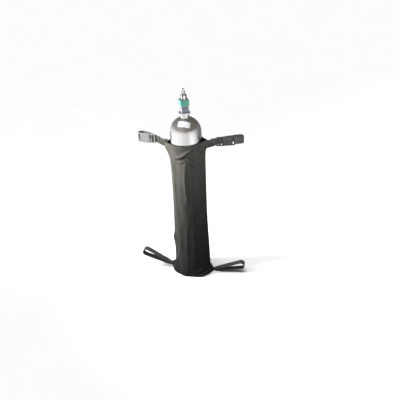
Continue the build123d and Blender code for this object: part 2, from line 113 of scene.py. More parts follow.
BACK_FOLDS = [
    ([(-76, 535), (-52, 512), (-22, 500), (6, 506), (30, 522)], 3.6, 5.5, 0.8),
    ([(76, 535), (56, 505), (46, 460), (42, 410)], 2.8, 6.0, 0.6),
    ([(-60, 500), (-48, 455), (-44, 400)], 2.2, 6.0, 0.5),
    ([(2, 490), (-3, 430), (3, 360), (-2, 300)], 1.8, 8.0, 0.5),
    ([(-26, 420), (-22, 340), (-28, 250)], 1.4, 8.0, 0.4),
    ([(28, 380), (32, 280), (26, 200)], 1.4, 8.0, 0.4),
    ([(4, 230), (8, 150), (2, 70)], 1.8, 7.0, 0.5),
    ([(-84, 12), (-56, 22), (-30, 20), (-8, 10)], 2.8, 4.5, 0.9),
    ([(-84, 18), (-62, 44), (-48, 70)], 2.2, 5.0, 0.7),
    ([(84, 40), (60, 30), (36, 16), (14, 6)], 2.8, 4.5, 0.9),
    ([(84, 44), (66, 70), (58, 110)], 2.2, 5.0, 0.6),
]
# 1 for the face that looks along -Y, -1 for the other, with its folds
FACES = {"front": (1, FRONT_FOLDS), "back": (-1, BACK_FOLDS)}

# ---- straps, valve and seal, in millimetres ----
TUBE_R = 12.7                  # the frame tubes that the loops go round
WEB_WIDE = 25.0
WEB_THICK = 1.35
LOOP_R = TUBE_R + 0.8          # middle of the webbing round a tube
BAR_WRAP_R = 2.9               # middle of the webbing round a buckle's bar
VALVE_TURN = 27.0              # degrees the outlet face is turned to +X
POST_FROM = 0.662              # height in metres where the square post leaves its collar


# ---------------------------------------------------------------- small helpers

def new_object(name, verts, faces):
    """Mesh object from vertices in metres, shaded smooth."""
    mesh = bpy.data.meshes.new(name)
    mesh.from_pydata([tuple(v) for v in verts], [], [tuple(f) for f in faces])
    mesh.validate()
    mesh.polygons.foreach_set("use_smooth", [True] * len(mesh.polygons))
    mesh.update()
    piece = bpy.data.objects.new(name, mesh)
    bpy.context.scene.collection.objects.link(piece)
    return piece


def store_vectors(piece, name, values):
    """Keep a vector at each vertex, for a material that follows the cloth."""
    layer = piece.data.attributes.new(name, "FLOAT_VECTOR", "POINT")
    layer.data.foreach_set("vector", np.asarray(values, np.float32).ravel())


def grid_faces(rows, columns, start=0, close_columns=False, flip=False):
    """Quads of a grid whose vertices run along each row in turn."""
    faces = []
    for i in range(rows - 1):
        for j in range(columns if close_columns else columns - 1):
            a = start + i * columns + j
            b = start + i * columns + (j + 1) % columns
            c = b + columns
            d = a + columns
            faces.append((a, d, c, b) if flip else (a, b, c, d))
    return faces


def grid_normals(points):
    """Unit normal at each point of a grid: along its columns crossed with along its rows."""
    across = np.gradient(points, axis=1)
    along = np.gradient(points, axis=0)
    normal = np.cross(across, along)
    return normal / np.maximum(np.linalg.norm(normal, axis=2, keepdims=True), 1e-12)


def thick_sheet(name, points, thickness, pattern):
    """Closed sheet of cloth: points is the outer face as a grid in mm, pattern its cloth coordinates."""
    normal = grid_normals(points)
    inner = points - normal * thickness
    rows, columns = points.shape[:2]
    count = rows * columns
    verts = np.concatenate([points.reshape(-1, 3), inner.reshape(-1, 3)]) * MM
    faces = grid_faces(rows, columns) + grid_faces(rows, columns, start=count, flip=True)
    rim = list(range(columns))
    rim += [i * columns + columns - 1 for i in range(1, rows)]
    rim += [(rows - 1) * columns + j for j in range(columns - 2, -1, -1)]
    rim += [i * columns for i in range(rows - 2, 0, -1)]
    for k, a in enumerate(rim):
        b = rim[(k + 1) % len(rim)]
        faces.append((b, a, a + count, b + count))
    piece = new_object(name, verts, faces)
    coordinates = pattern.reshape(-1, 3)
    store_vectors(piece, "cloth", np.concatenate([coordinates, coordinates]))
    return piece


def smooth_noise(x, y, scale, seed):
    """Repeatable smooth noise from -1 to 1 over arrays of x and y."""
    rng = np.random.default_rng(seed)
    total = np.zeros_like(np.asarray(x, float))
    for _ in range(7):
        direction = rng.uniform(0, 2 * math.pi)
        wave = 2 * math.pi / (scale * rng.uniform(0.7, 1.6))
        phase = rng.uniform(0, 2 * math.pi)
        total += np.sin(wave * (x * math.cos(direction) + y * math.sin(direction)) + phase)
    return total / 7 * 1.8


# ---------------------------------------------------------------- materials

# fixed directions that the room and the floor are laid out by
FRONT = (0.2215, -0.9752, 0.0)     # across the floor, towards the camera
RIGHT = (0.9752, 0.2215, 0.0)


def grey(value, warm=0.0):
    return (value * (1 + warm), value, value * (1 - warm))


class Nodes:
    """Short way to build a node tree. An input may be a number, a colour or another node's socket."""

    def __init__(self, tree):
        self.tree = tree

    def add(self, kind, settings=None, **inputs):
        node = self.tree.nodes.new(kind)
        for key, value in (settings or {}).items():
            setattr(node, key, value)
        for key, value in inputs.items():
            self.put(node, key.replace("_", " "), value)
        return node

    def put(self, node, key, value):
        socket = node.inputs[key]
        if isinstance(value, bpy.types.NodeSocket):
            self.tree.links.new(value, socket)
        else:
            socket.default_value = value

    def ramp(self, value, stops):
        node = self.add("ShaderNodeValToRGB", Fac=value)
        elements = node.color_ramp.elements
        while len(elements) < len(stops):
            elements.new(0.5)
        for element, (at, colour) in zip(elements, stops):
            element.position = at
            element.color = (*colour, 1.0)
        return node.outputs["Color"]

    def math(self, operation, a, b=0.0):
        node = self.add("ShaderNodeMath", {"operation": operation})
        self.put(node, 0, a)
        self.put(node, 1, b)
        return node.outputs[0]

    def mix(self, factor, a, b, blend="MIX"):
        node = self.add("ShaderNodeMixRGB", {"blend_type": blend}, Fac=factor, Color1=a, Color2=b)
        return node.outputs["Color"]

    def dot(self, vector, direction):
        node = self.add("ShaderNodeVectorMath", {"operation": "DOT_PRODUCT"})
        self.put(node, 0, vector)
        self.put(node, 1, direction)
        return node.outputs["Value"]

    def split(self, vector):
        """The parts of a vector, as sockets named X, Y and Z."""
        return self.add("ShaderNodeSeparateXYZ", Vector=vector).outputs

    def noise(self, vector, scale, detail=3.0, roughness=0.55):
        node = self.add("ShaderNodeTexNoise", Vector=vector, Scale=scale, Detail=detail, Roughness=roughness)
        return node.outputs["Fac"]

    def stretched(self, vector, scale):
        return self.add("ShaderNodeMapping", Vector=vector, Scale=scale).outputs["Vector"]

    def place(self):
        return self.add("ShaderNodeTexCoord").outputs["Object"]

    def cloth(self):
        return self.add("ShaderNodeAttribute", {"attribute_name": "cloth"}).outputs["Vector"]

    def bearing(self, vector):
        """Direction round the object as 0 to 1, 0.5 towards the camera and 0.75 to its right."""
        angle = self.math("ARCTAN2", self.dot(vector, RIGHT), self.dot(vector, FRONT))
        return self.math("ADD", self.math("DIVIDE", angle, 2 * math.pi), 0.5)


class Finish(Nodes):
    """Node material round one Principled shader."""

    def __init__(self, name):
        self.material = bpy.data.materials.new(name)
        self.material.use_nodes = True
        super().__init__(self.material.node_tree)
        self.shader = self.tree.nodes["Principled BSDF"]

    def set(self, **inputs):
        for key, value in inputs.items():
            self.put(self.shader, key.replace("_", " "), value)

    def bump(self, height, strength, distance):
        node = self.add("ShaderNodeBump", Strength=strength, Distance=distance, Height=height)
        self.set(Normal=node.outputs["Normal"])


def weave_height(nodes, vector, pitch):
    """Plain weave: threads over and under each other, pitch metres apart."""
    split = nodes.split(vector)
    turn = math.pi / pitch
    warp = nodes.math("SINE", nodes.math("MULTIPLY", split["X"], turn))
    weft = nodes.math("SINE", nodes.math("MULTIPLY", split["Y"], turn))
    over = nodes.math("MULTIPLY", warp, weft)
    return nodes.math("ADD", nodes.math("MULTIPLY", over, 0.5), 0.5)


def bag_cloth_material():
    """Black woven nylon: blotched and worn along its length, with painted highlights on the raised threads and
    painted shade that darkens it towards the bottom.
    """
    nodes = Finish("bag_cloth_visual")
    place = nodes.place()
    weave = weave_height(nodes, nodes.cloth(), 0.0009)
    blotch = nodes.noise(place, 22.0, 4.0)
    streak = nodes.noise(nodes.stretched(place, (60.0, 60.0, 6.0)), 1.0, 3.0)
    tone = nodes.ramp(blotch, [(0.30, (0.037, 0.0360, 0.0328)), (0.70, (0.054, 0.0527, 0.0482))])
    worn = nodes.ramp(streak, [(0.35, (0.85, 0.85, 0.85)), (0.75, (1.15, 1.15, 1.13))])
    colour = nodes.mix(1.0, tone, worn, "MULTIPLY")
    # painted highlight: the raised threads of the weave are painted lighter
    colour = nodes.mix(nodes.math("MULTIPLY", weave, 0.16), colour, (0.075, 0.073, 0.066, 1))
    # painted shade: the cloth is painted darker towards the bottom and lighter at the top
    height_up = nodes.math("MULTIPLY", nodes.split(place)["Z"], 1.8)
    shade_towards_bottom = nodes.ramp(height_up, [(0.04, grey(0.38)), (0.40, (0.68, 0.68, 0.675)),
                                   (0.75, (1.06, 1.06, 1.055))])
    colour = nodes.mix(1.0, colour, shade_towards_bottom, "MULTIPLY")
    rough = nodes.math("ADD", nodes.math("MULTIPLY", streak, 0.22), 0.42)
    height = nodes.math("ADD", weave, nodes.math("MULTIPLY", nodes.noise(place, 350.0, 2.0), 0.6))
    nodes.set(Base_Color=colour, Roughness=rough, Specular_IOR_Level=0.03)
    nodes.bump(height, 0.35, 0.0002)
    return nodes.material


def webbing_material(name, base, light):
    """Flat webbing: ribs across, in a herringbone of yarns."""
    nodes = Finish(name)
    split = nodes.split(nodes.cloth())
    yarn = nodes.math("MULTIPLY", split["Y"], math.pi / 0.0011)
    zig = nodes.math("PINGPONG", split["Y"], 0.0032)
    rib = nodes.math("MULTIPLY", nodes.math("ADD", split["X"], zig), math.pi / 0.0010)
    over = nodes.math("MULTIPLY", nodes.math("SINE", rib), nodes.math("COSINE", yarn))
    height = nodes.math("ADD", nodes.math("MULTIPLY", over, 0.5), 0.5)
    blotch = nodes.noise(nodes.place(), 60.0, 3.0)
    tone = nodes.ramp(blotch, [(0.3, base), (0.75, light)])
    # painted highlight: the raised yarns of the ribs are painted lighter
    colour = nodes.mix(nodes.math("MULTIPLY", height, 0.35), tone, (0.12, 0.118, 0.11, 1))
    nodes.set(Base_Color=colour, Roughness=0.62, Sheen_Weight=0.25, Sheen_Roughness=0.4)
    nodes.bump(height, 0.5, 0.0003)
    return nodes.material


def plastic_material(name, dark, light, rough):
    """Moulded acetal: fine texture, scuffed lighter in places."""
    nodes = Finish(name)
    place = nodes.place()
    scuff = nodes.noise(place, 110.0, 5.0, 0.65)
    colour = nodes.ramp(scuff, [(0.45, dark), (0.78, light)])
    roughness = nodes.math("ADD", nodes.math("MULTIPLY", scuff, 0.25), rough - 0.12)
    nodes.set(Base_Color=colour, Roughness=roughness)
    nodes.bump(nodes.noise(place, 900.0, 2.0), 0.18, 0.00015)
    return nodes.material


def metal_material(name, colour, rough, stretch, grain=0.10, painted_reflection_edges=None, painted_reflection_face=None):
    """Machined or polished metal: fine tool lines, faint smudges and dulled patches.

    The edge bearing is the bearing in degrees of one edge of a hexagon, whose edges are painted dark as painted
    dark reflections.
    The face direction is the outward direction of one face of the post, which is painted dark blue-grey as painted
    shade and made rougher.
    """
    nodes = Finish(name)
    place = nodes.place()
    lines = nodes.noise(nodes.stretched(place, stretch), 1.0, 2.0)
    smudge = nodes.noise(place, 38.0, 5.0, 0.62)
    smudged = tuple(c * 0.94 for c in colour)
    tone = nodes.ramp(smudge, [(0.35, smudged), (0.7, colour)])
    roughness = nodes.math("ADD", nodes.math("MULTIPLY", smudge, 0.12), rough - 0.06)
    roughness = nodes.math("ADD", roughness, nodes.math("MULTIPLY", lines, grain * 0.5))
    if painted_reflection_edges is not None:
        # painted reflection: the hexagon's edges are painted dark, standing in for dark reflections in the chrome
        split = nodes.split(place)
        angle = nodes.math("ARCTAN2", split["Y"], split["X"])
        angle = nodes.math("SUBTRACT", angle, math.radians(painted_reflection_edges))
        near = nodes.math("ABSOLUTE", nodes.math("COSINE", nodes.math("MULTIPLY", angle, 3.0)))
        on_painted_reflection = nodes.ramp(near, [(0.80, grey(0.0)), (0.93, grey(1.0))])
        tone = nodes.mix(on_painted_reflection, tone, (0.035, 0.035, 0.04, 1))
    if painted_reflection_face is not None:
        # painted shade: the post's outlet face is painted dark blue-grey; its added roughness is a real finish
        normal = nodes.add("ShaderNodeNewGeometry").outputs["True Normal"]
        on_reflection_face = nodes.ramp(nodes.dot(normal, painted_reflection_face), [(0.90, grey(0.0)), (0.97, grey(1.0))])
        on_post = nodes.math("GREATER_THAN", nodes.split(place)["Z"], POST_FROM)
        on_reflection_face = nodes.math("MULTIPLY", on_reflection_face, on_post)
        tone = nodes.mix(on_reflection_face, tone, (0.20, 0.215, 0.27, 1))
        roughness = nodes.math("ADD", roughness, nodes.math("MULTIPLY", on_reflection_face, 0.22))
    nodes.set(Base_Color=tone, Metallic=1.0, Roughness=roughness)
    nodes.bump(lines, grain, 0.0001)
    return nodes.material


def seal_material():
    """Cloudy shrunk film, a little see-through."""
    nodes = Finish("seal_plastic_visual")
    place = nodes.place()
    cloudy = nodes.noise(place, 160.0, 4.0)
    colour = nodes.ramp(cloudy, [(0.3, (0.050, 0.235, 0.170)), (0.7, (0.095, 0.335, 0.245))])
    nodes.set(Base_Color=colour, Roughness=0.34, Subsurface_Weight=0.15,
              Subsurface_Radius=(0.001, 0.003, 0.002), Coat_Weight=0.25)
    nodes.bump(nodes.noise(place, 700.0, 2.0), 0.12, 0.0002)
    return nodes.material


def label_material():
    nodes = Finish("label_paper_visual")
    place = nodes.place()
    stain = nodes.noise(place, 70.0, 4.0)
    # painted shade: the white paper is painted mid grey so that it stays below white under the lamps
    colour = nodes.ramp(stain, [(0.3, (0.20, 0.19, 0.21)), (0.65, (0.36, 0.355, 0.375))])
    nodes.set(Base_Color=colour, Roughness=0.62)
    nodes.bump(nodes.noise(place, 500.0, 3.0), 0.1, 0.0001)
    return nodes.material


def rubber_material():
    nodes = Finish("rubber_seal_visual")
    colour = nodes.ramp(nodes.noise(nodes.place(), 200.0), [(0.3, grey(0.02)), (0.7, grey(0.04))])
    nodes.set(Base_Color=colour, Roughness=0.55)
    return nodes.material


def assign(piece, material):
    piece.data.materials.clear()
    piece.data.materials.append(material)


def dress(piece, material, body, stands_for=None):
    """A new piece's material, the body it rides on and the CAD node that it replaces."""
    assign(piece, material)
    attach(piece, body)
    if stands_for:
        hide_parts(stands_for)
    return piece


# ---------------------------------------------------------------- stage

# how bright the paper is where metal mirrors it, by bearing round the object
MIRRORED_FLOOR = [(0.0, 0.30), (0.08, 0.90), (0.20, 1.18), (0.32, 1.22), (0.42, 1.02), (0.5, 0.80),
                  (0.55, 0.84), (0.60, 1.16), (0.65, 1.02), (0.72, 0.50), (0.80, 0.20), (1.0, 0.18)]


def build_camera():
    back = (CAMERA_AT - CAMERA_AIM).normalized()
    level = Vector((0, 0, 1)).cross(back).normalized()
    upright = back.cross(level)
    right = level * math.cos(CAMERA_ROLL) + upright * math.sin(CAMERA_ROLL)
    up = upright * math.cos(CAMERA_ROLL) - level * math.sin(CAMERA_ROLL)
    data = bpy.data.cameras.new("camera")
    data.lens = LENS
    data.sensor_width = 36.0
    data.clip_end = 100.0
    camera = bpy.data.objects.new("camera", data)
    camera.matrix_world = Matrix((
        (right.x, up.x, back.x, CAMERA_AT.x),
        (right.y, up.y, back.y, CAMERA_AT.y),
        (right.z, up.z, back.z, CAMERA_AT.z),
        (0, 0, 0, 1)))
    bpy.context.scene.collection.objects.link(camera)
    bpy.context.scene.camera = camera


def soft_light(name, at, aim, size, power, spread, colour):
    """Square lamp that metal doesn't mirror."""
    data = bpy.data.lights.new(name, "AREA")
    data.size = size
    data.energy = power
    data.spread = math.radians(spread)
    data.color = colour
    light = bpy.data.objects.new(name, data)
    light.location = at
    light.rotation_euler = (Vector(aim) - Vector(at)).to_track_quat("-Z", "Y").to_euler()
    light.visible_glossy = False
    bpy.context.scene.collection.objects.link(light)


def overhead_light():
    data = bpy.data.lights.new("overhead", "SUN")
    data.energy = 3.25
    data.angle = math.radians(50)
    light = bpy.data.objects.new("overhead", data)
    light.rotation_euler = Vector((0.14, 0.10, -1.0)).to_track_quat("-Z", "Y").to_euler()
    light.visible_glossy = False
    bpy.context.scene.collection.objects.link(light)


def build_world():
    """Room: a bright band near the horizon in front, dim warm walls elsewhere."""
    world = bpy.data.worlds.new("room")
    bpy.context.scene.world = world
    world.use_nodes = True
    nodes = Nodes(world.node_tree)
    direction = nodes.add("ShaderNodeTexCoord").outputs["Generated"]
    bearing = nodes.bearing(direction)
    walls = nodes.ramp(bearing, [(0.0, grey(0.13, 0.10)), (0.18, grey(0.34, 0.06)), (0.38, grey(0.46, 0.05)),
                                 (0.5, grey(0.27, 0.07)), (0.62, grey(0.19, 0.10)), (1.0, grey(0.12, 0.10))])
    band = nodes.ramp(bearing, [(0.10, grey(0.25)), (0.22, grey(1.1)), (0.42, grey(1.1)), (0.5, grey(0.8)),
                                (0.60, grey(1.15)), (0.68, grey(0.8)), (0.76, grey(0.3)), (0.90, grey(0.15))])
    low = nodes.ramp(nodes.split(direction)["Z"], [(0.19, grey(1.0)), (0.27, grey(0.0))])
    colour = nodes.mix(low, walls, band)
    rays = nodes.add("ShaderNodeLightPath").outputs
    colour = nodes.mix(rays["Is Diffuse Ray"], colour, (*grey(0.10), 1))
    colour = nodes.mix(rays["Is Camera Ray"], colour, (*grey(0.97), 1))
    background = world.node_tree.nodes["Background"]
    nodes.put(background, "Color", colour)
    nodes.put(background, "Strength", 1.0)


def build_floor():
    """White paper. Mirrored in metal it has soft bright and dim sides, and it throws little light back."""
    nodes = Finish("floor_paper")
    place = nodes.place()
    paper = nodes.ramp(nodes.noise(place, 3.0), [(0.3, grey(0.86)), (0.7, grey(0.88))])
    mirrored = nodes.ramp(nodes.bearing(place), [(at, grey(bright)) for at, bright in MIRRORED_FLOOR])
    rays = nodes.add("ShaderNodeLightPath").outputs
    colour = nodes.mix(rays["Is Glossy Ray"], paper, mirrored)
    colour = nodes.mix(rays["Is Diffuse Ray"], colour, (*grey(0.12), 1))
    nodes.set(Base_Color=colour, Roughness=0.9, Specular_IOR_Level=0.0)
    reach = 14.0
    corners = [(-reach, -reach, 0), (reach, -reach, 0), (reach, reach, 0), (-reach, reach, 0)]
    floor = new_object("floor", corners, [(0, 1, 2, 3)])
    floor.location.z = -0.0004
    assign(floor, nodes.material)


def build_stage():
    bpy.context.scene.view_settings.view_transform = "Standard"
    build_camera()
    build_world()
    build_floor()
    overhead_light()
    soft_light("key", (-0.98, -0.34, 0.92), (0, 0, 0.62), 0.45, 13.0, 75, (1, 0.99, 0.97))
    soft_light("fill", (0.50, -0.48, 0.92), (0, 0, 0.54), 0.3, 0.85, 60, (0.96, 0.98, 1))


# ---------------------------------------------------------------- bag surface

def curve_through(points, steps=14):
    """Smooth curve through a few points, as a dense array."""
    p = np.array(points, float)
    p = np.vstack([2 * p[0] - p[1], p, 2 * p[-1] - p[-2]])
    out = []
    for i in range(1, len(p) - 2):
        for t in np.linspace(0, 1, steps, endpoint=False):
            a, b, c, d = p[i - 1], p[i], p[i + 1], p[i + 2]
            out.append(0.5 * (2 * b + (c - a) * t + (2 * a - 5 * b + 4 * c - d) * t * t
                              + (3 * b - a - 3 * c + d) * t ** 3))
    out.append(p[-2])
    return np.array(out)


def fold_lift(theta, z, fold):
    """How far one fold lifts the cloth, in mm, at each angle (degrees) and height."""
    points, height, width, hollow = fold
    route = curve_through([(math.radians(a) * LOOSE_R, h) for a, h in points], 6)
    s = np.radians(theta) * LOOSE_R
    best = np.full(s.shape, 1e9)
    signed = np.zeros(s.shape)
    share = np.zeros(s.shape)
    for k in range(len(route) - 1):
        start, run = route[k], route[k + 1] - route[k]
        length = max(np.hypot(*run), 1e-9)
        t = np.clip(((s - start[0]) * run[0] + (z - start[1]) * run[1]) / length ** 2, 0, 1)
        gap = np.hypot(s - start[0] - t * run[0], z - start[1] - t * run[1])
        side = (run[0] * (z - start[1]) - run[1] * (s - start[0])) / length
        near = gap < best
        best = np.where(near, gap, best)
        signed = np.where(near, np.sign(side) * gap, signed)
        share = np.where(near, (k + t) / (len(route) - 1), share)
    fade = np.sin(math.pi * np.clip(share * 0.94 + 0.03, 0, 1)) ** 0.6
    ridge = np.exp(-(best / width) ** 2)
    dip = np.exp(-((signed + 1.9 * width) / (1.25 * width)) ** 2)
    return height * fade * (ridge - 0.55 * hollow * dip)


def seam_out(side, z):
    """How far a side seam stands out from the axis at height z."""
    line = curve_through(SEAM_OUT[side], 8)
    return np.interp(z, line[:, 0], line[:, 1])


def bag_radius(face, theta, z):
    """Outer face of the cloth: its distance from the axis, in mm."""
    side_out = np.where(theta < 0, seam_out(-1, z), seam_out(1, z))
    touching = 90 - np.degrees(np.arccos(np.clip(LOOSE_R / side_out, 0, 1)))
    beyond = np.radians(np.maximum(0, np.abs(theta) - touching))
    envelope = LOOSE_R / np.cos(beyond)
    s = np.radians(theta) * LOOSE_R
    seed = 3 if face == "front" else 8
    lift = 0.75 * smooth_noise(s, z * 0.13, 42.0, seed)
    lift = lift + 0.35 * smooth_noise(s, z * 0.5, 24.0, seed + 20)
    lift = lift + 0.14 * smooth_noise(s, z, 9.0, seed + 40)
    for fold in FACES[face][1]:
        lift = lift + fold_lift(theta, z, fold)
    for middle, wide, high, full in BASE_CORNERS:
        spread = np.exp(-((theta - middle) / wide) ** 2)
        lift = lift + full * spread * np.exp(-np.clip(z - 4, 0, None) ** 2 / high ** 2)
    at_seam = np.clip((90 - np.abs(theta)) / 7.0, 0, 1)
    round_in = np.clip((BASE_ROUND - z) / BASE_ROUND, 0, 1)
    radius = envelope + lift * at_seam
    radius = np.maximum(radius, np.maximum(TIGHT_R, envelope - 2.5))
    return radius - BASE_TUCK * (1 - np.sqrt(1 - round_in ** 2)) * (0.25 + 0.75 * at_seam)


def bag_point(face, theta, z, proud=0.0):
    """Point on the bag's outer face, in mm."""
    radius = bag_radius(face, theta, z) + proud
    turn = np.radians(theta)
    front = -FACES[face][0]
    return np.stack([radius * np.sin(turn), front * radius * np.cos(turn), z], axis=-1)


def rim_z(face, theta):
    angles, heights = zip(*RIM[face])
    return np.interp(theta, angles, heights)


def bag_grid(face, low, high, rows, columns, proud=0.0):
    """Grid of points on a panel between two heights, each a function of the angle."""
    theta = np.linspace(-90, 90, columns)[None, :] * np.ones((rows, 1))
    share = np.linspace(0, 1, rows)[:, None]
    bottom = low(theta)
    z = bottom + (high(theta) - bottom) * share
    points = bag_point(face, theta, z, proud)
    pattern = np.stack([np.radians(theta) * LOOSE_R * MM, z * MM, np.zeros_like(z)], axis=-1)
    if FACES[face][0] < 0:
        points, pattern = points[:, ::-1], pattern[:, ::-1]
    return points, pattern


def bag_panel(face, cloth):
    points, pattern = bag_grid(face, lambda t: t * 0 + BASE_Z, lambda t: rim_z(face, t), 320, 150)
    piece = thick_sheet(f"bag_{face}_cloth", points, CLOTH_THICK, pattern)
    return dress(piece, cloth, "bag", f"bag_{face}_panel")


def bag_hem(face, cloth):
    """The turned hem: a second layer round the mouth, closed over the rim."""
    def low(theta):
        return rim_z(face, theta) - HEM_DEEP
    points, pattern = bag_grid(face, low, lambda t: rim_z(face, t) + 0.2, 22, 150, proud=0.95)
    points[0] = bag_grid(face, low, lambda t: rim_z(face, t), 2, 150, proud=0.25)[0][0]
    piece = thick_sheet(f"rim_hem_{face}", points, HEM_THICK, pattern)
    dress(piece, cloth, "bag", f"{face}_rim_hem")


def bag_base(cloth):
    """Base panel, flat in the middle and a touch higher at its edge."""
    angles = np.linspace(-90, 90, 61)
    level = np.full(len(angles), 0.4)
    outline = np.vstack([bag_point("front", angles, level)[:, :2],
                         bag_point("back", angles[::-1], level)[1:-1, :2]])
    rings = np.linspace(0.0, 0.985, 16)
    rows, columns = len(rings), len(outline)
    under = np.array([np.column_stack([outline * share, np.full(columns, BASE_Z + 0.25 * share ** 4)])
                      for share in rings]).reshape(-1, 3)
    count = len(under)
    faces = grid_faces(rows, columns, close_columns=True)
    faces += grid_faces(rows, columns, start=count, close_columns=True, flip=True)
    edge = count - columns
    for j in range(columns):
        a, b = edge + j, edge + (j + 1) % columns
        faces.append((a, b, b + count, a + count))
    verts = np.concatenate([under, under + BASE_THICK * UP]) * MM
    piece = new_object("bag_base", verts, faces)
    store_vectors(piece, "cloth", verts)
    weld_and_orient(piece)
    dress(piece, cloth, "bag", "bag_base_panel")


def weld_and_orient(piece, gap=1e-6):
    """Merge points that coincide, and turn every face outwards."""
    work = bmesh.new()
    work.from_mesh(piece.data)
    bmesh.ops.remove_doubles(work, verts=work.verts, dist=gap)
    bmesh.ops.recalc_face_normals(work, faces=work.faces)
    work.to_mesh(piece.data)
    work.free()


# ---------------------------------------------------------------- strips, tubes and stitches

def sweep(name, path, across, outline, wide=None, deep=None):
    """Carry a small outline along a path. path is in mm, across the outline's own x direction."""
    path = np.asarray(path, float)
    across = np.asarray(across, float)
    ahead = np.roll(path, -1, axis=0) - np.roll(path, 1, axis=0)
    ahead[0], ahead[-1] = path[1] - path[0], path[-1] - path[-2]
    ahead /= np.linalg.norm(ahead, axis=1, keepdims=True)
    across = across - ahead * np.sum(across * ahead, axis=1, keepdims=True)
    across /= np.linalg.norm(across, axis=1, keepdims=True)
    up = np.cross(ahead, across)
    outline = np.asarray(outline, float)
    wide = np.ones(len(path)) if wide is None else np.asarray(wide, float)
    deep = np.ones(len(path)) if deep is None else np.asarray(deep, float)
    across_part = across[:, None, :] * outline[None, :, :1] * wide[:, None, None]
    rings = path[:, None, :] + across_part + up[:, None, :] * outline[None, :, 1:] * deep[:, None, None]
    count, size = len(path), len(outline)
    faces = grid_faces(count, size, close_columns=True)
    faces += [tuple(range(size - 1, -1, -1)), tuple((count - 1) * size + j for j in range(size))]
    verts = rings.reshape(-1, 3) * MM
    pattern = np.stack([np.repeat(distances(path)[:, None] * MM, size, 1),
                        np.repeat(outline[None, :, 0] * MM, count, 0),
                        np.zeros((count, size))], axis=-1).reshape(-1, 3)
    piece = new_object(name, verts, faces)
    store_vectors(piece, "cloth", pattern)
    weld_and_orient(piece)
    return piece


def band_outline(width, thick, across=9):
    """Cross-section of webbing: flat faces, rounded selvedges."""
    half, r = width / 2, thick / 2
    flat = np.linspace(-(half - r), half - r, across)
    round_over = np.linspace(-math.pi / 2, math.pi / 2, 7)[1:-1]
    right = [(half - r + r * math.cos(a), r * math.sin(a)) for a in round_over]
    left = [(-x, -y) for x, y in right]
    return [(x, -r) for x in flat] + right + [(x, r) for x in flat[::-1]] + left


def point_at(run, points, at):
    """Point of a line at a distance along it, or a column for each of several distances."""
    return np.array([np.interp(at, run, points[:, k]) for k in range(points.shape[1])])


def distances(points):
    """How far along a line each of its points is."""
    return np.concatenate([[0], np.cumsum(np.linalg.norm(np.diff(points, axis=0), axis=1))])


# a stitch from end to end: share of its length, and how thick it is there
STITCH = ((0.0, 0.35), (0.18, 0.9), (0.5, 1.0), (0.82, 0.9), (1.0, 0.35))
STITCH_SIDES = 6


def stitches(name, points, outward, thread, pitch=4.0, long=2.7, wide=0.62, tall=0.35):
    """A row of thread stitches along a line of points, standing just proud of the cloth."""
    points = np.asarray(points, float)
    outward = np.asarray(outward, float)
    run = distances(points)
    verts, faces = [], []
    for at in np.arange(pitch / 2, run[-1] - pitch / 2, pitch):
        first, last = point_at(run, points, at - long / 2), point_at(run, points, at + long / 2)
        up = point_at(run, outward, at)
        up /= np.linalg.norm(up)
        ahead = (last - first) / np.linalg.norm(last - first)
        side = np.cross(ahead, up)
        base = len(verts)
        for share, size in STITCH:
            centre = first + (last - first) * share
            for step in range(STITCH_SIDES):
                a = 2 * math.pi / STITCH_SIDES * step
                verts.append(centre + (side * math.cos(a) * wide / 2 + up * math.sin(a) * tall) * size)
        faces += grid_faces(len(STITCH), STITCH_SIDES, start=base, close_columns=True)
        last_ring = base + (len(STITCH) - 1) * STITCH_SIDES
        faces += [tuple(base + j for j in reversed(range(STITCH_SIDES))),
                  tuple(last_ring + j for j in range(STITCH_SIDES))]
    piece = new_object(name, np.array(verts) * MM, faces)
    weld_and_orient(piece)
    dress(piece, thread, "bag")


def outward_of(face, theta):
    """Direction out of the bag at an angle, good enough for placing thread."""
    turn = np.radians(theta)
    return np.stack([np.sin(turn), -FACES[face][0] * np.cos(turn), np.zeros_like(turn)], axis=-1)


# ---------------------------------------------------------------- bindings and webbing

def seam_path(side):
    """Points up the outer edge of a side seam, from the base to the rim."""
    return np.array([(side * (seam_out(side, z) - 1.2), 0.0, z) for z in np.linspace(1.4, 556.0, 230)])


# half of the folded tape's section: out from the seam, and away from its middle
TAPE_SECTION = [(-6.0, 1.1), (-1.6, 1.55), (0.9, 1.2), (1.9, 0.4)]


def seam_binding(side_name, tape, thread):
    """Folded tape over the seam allowance, with its line of stitching."""
    side = -1 if side_name == "left" else 1
    path = seam_path(side)
    section = [(side * x, -y) for x, y in TAPE_SECTION] + [(side * x, y) for x, y in TAPE_SECTION[::-1]]
    across = np.tile((1.0, 0.0, 0.0), (len(path), 1))
    piece = sweep(f"{side_name}_seam_tape", path, across, section)
    dress(piece, tape, "bag", f"{side_name}_seam_binding")
    for face, front in (("front", -1), ("back", 1)):
        line = path[6:-6] + np.array((-side * 2.4, front * 1.5, 0.0))
        out = np.tile((0.0, float(front), 0.0), (len(line), 1))
        stitches(f"{side_name}_seam_stitches_{face}", line, out, thread)


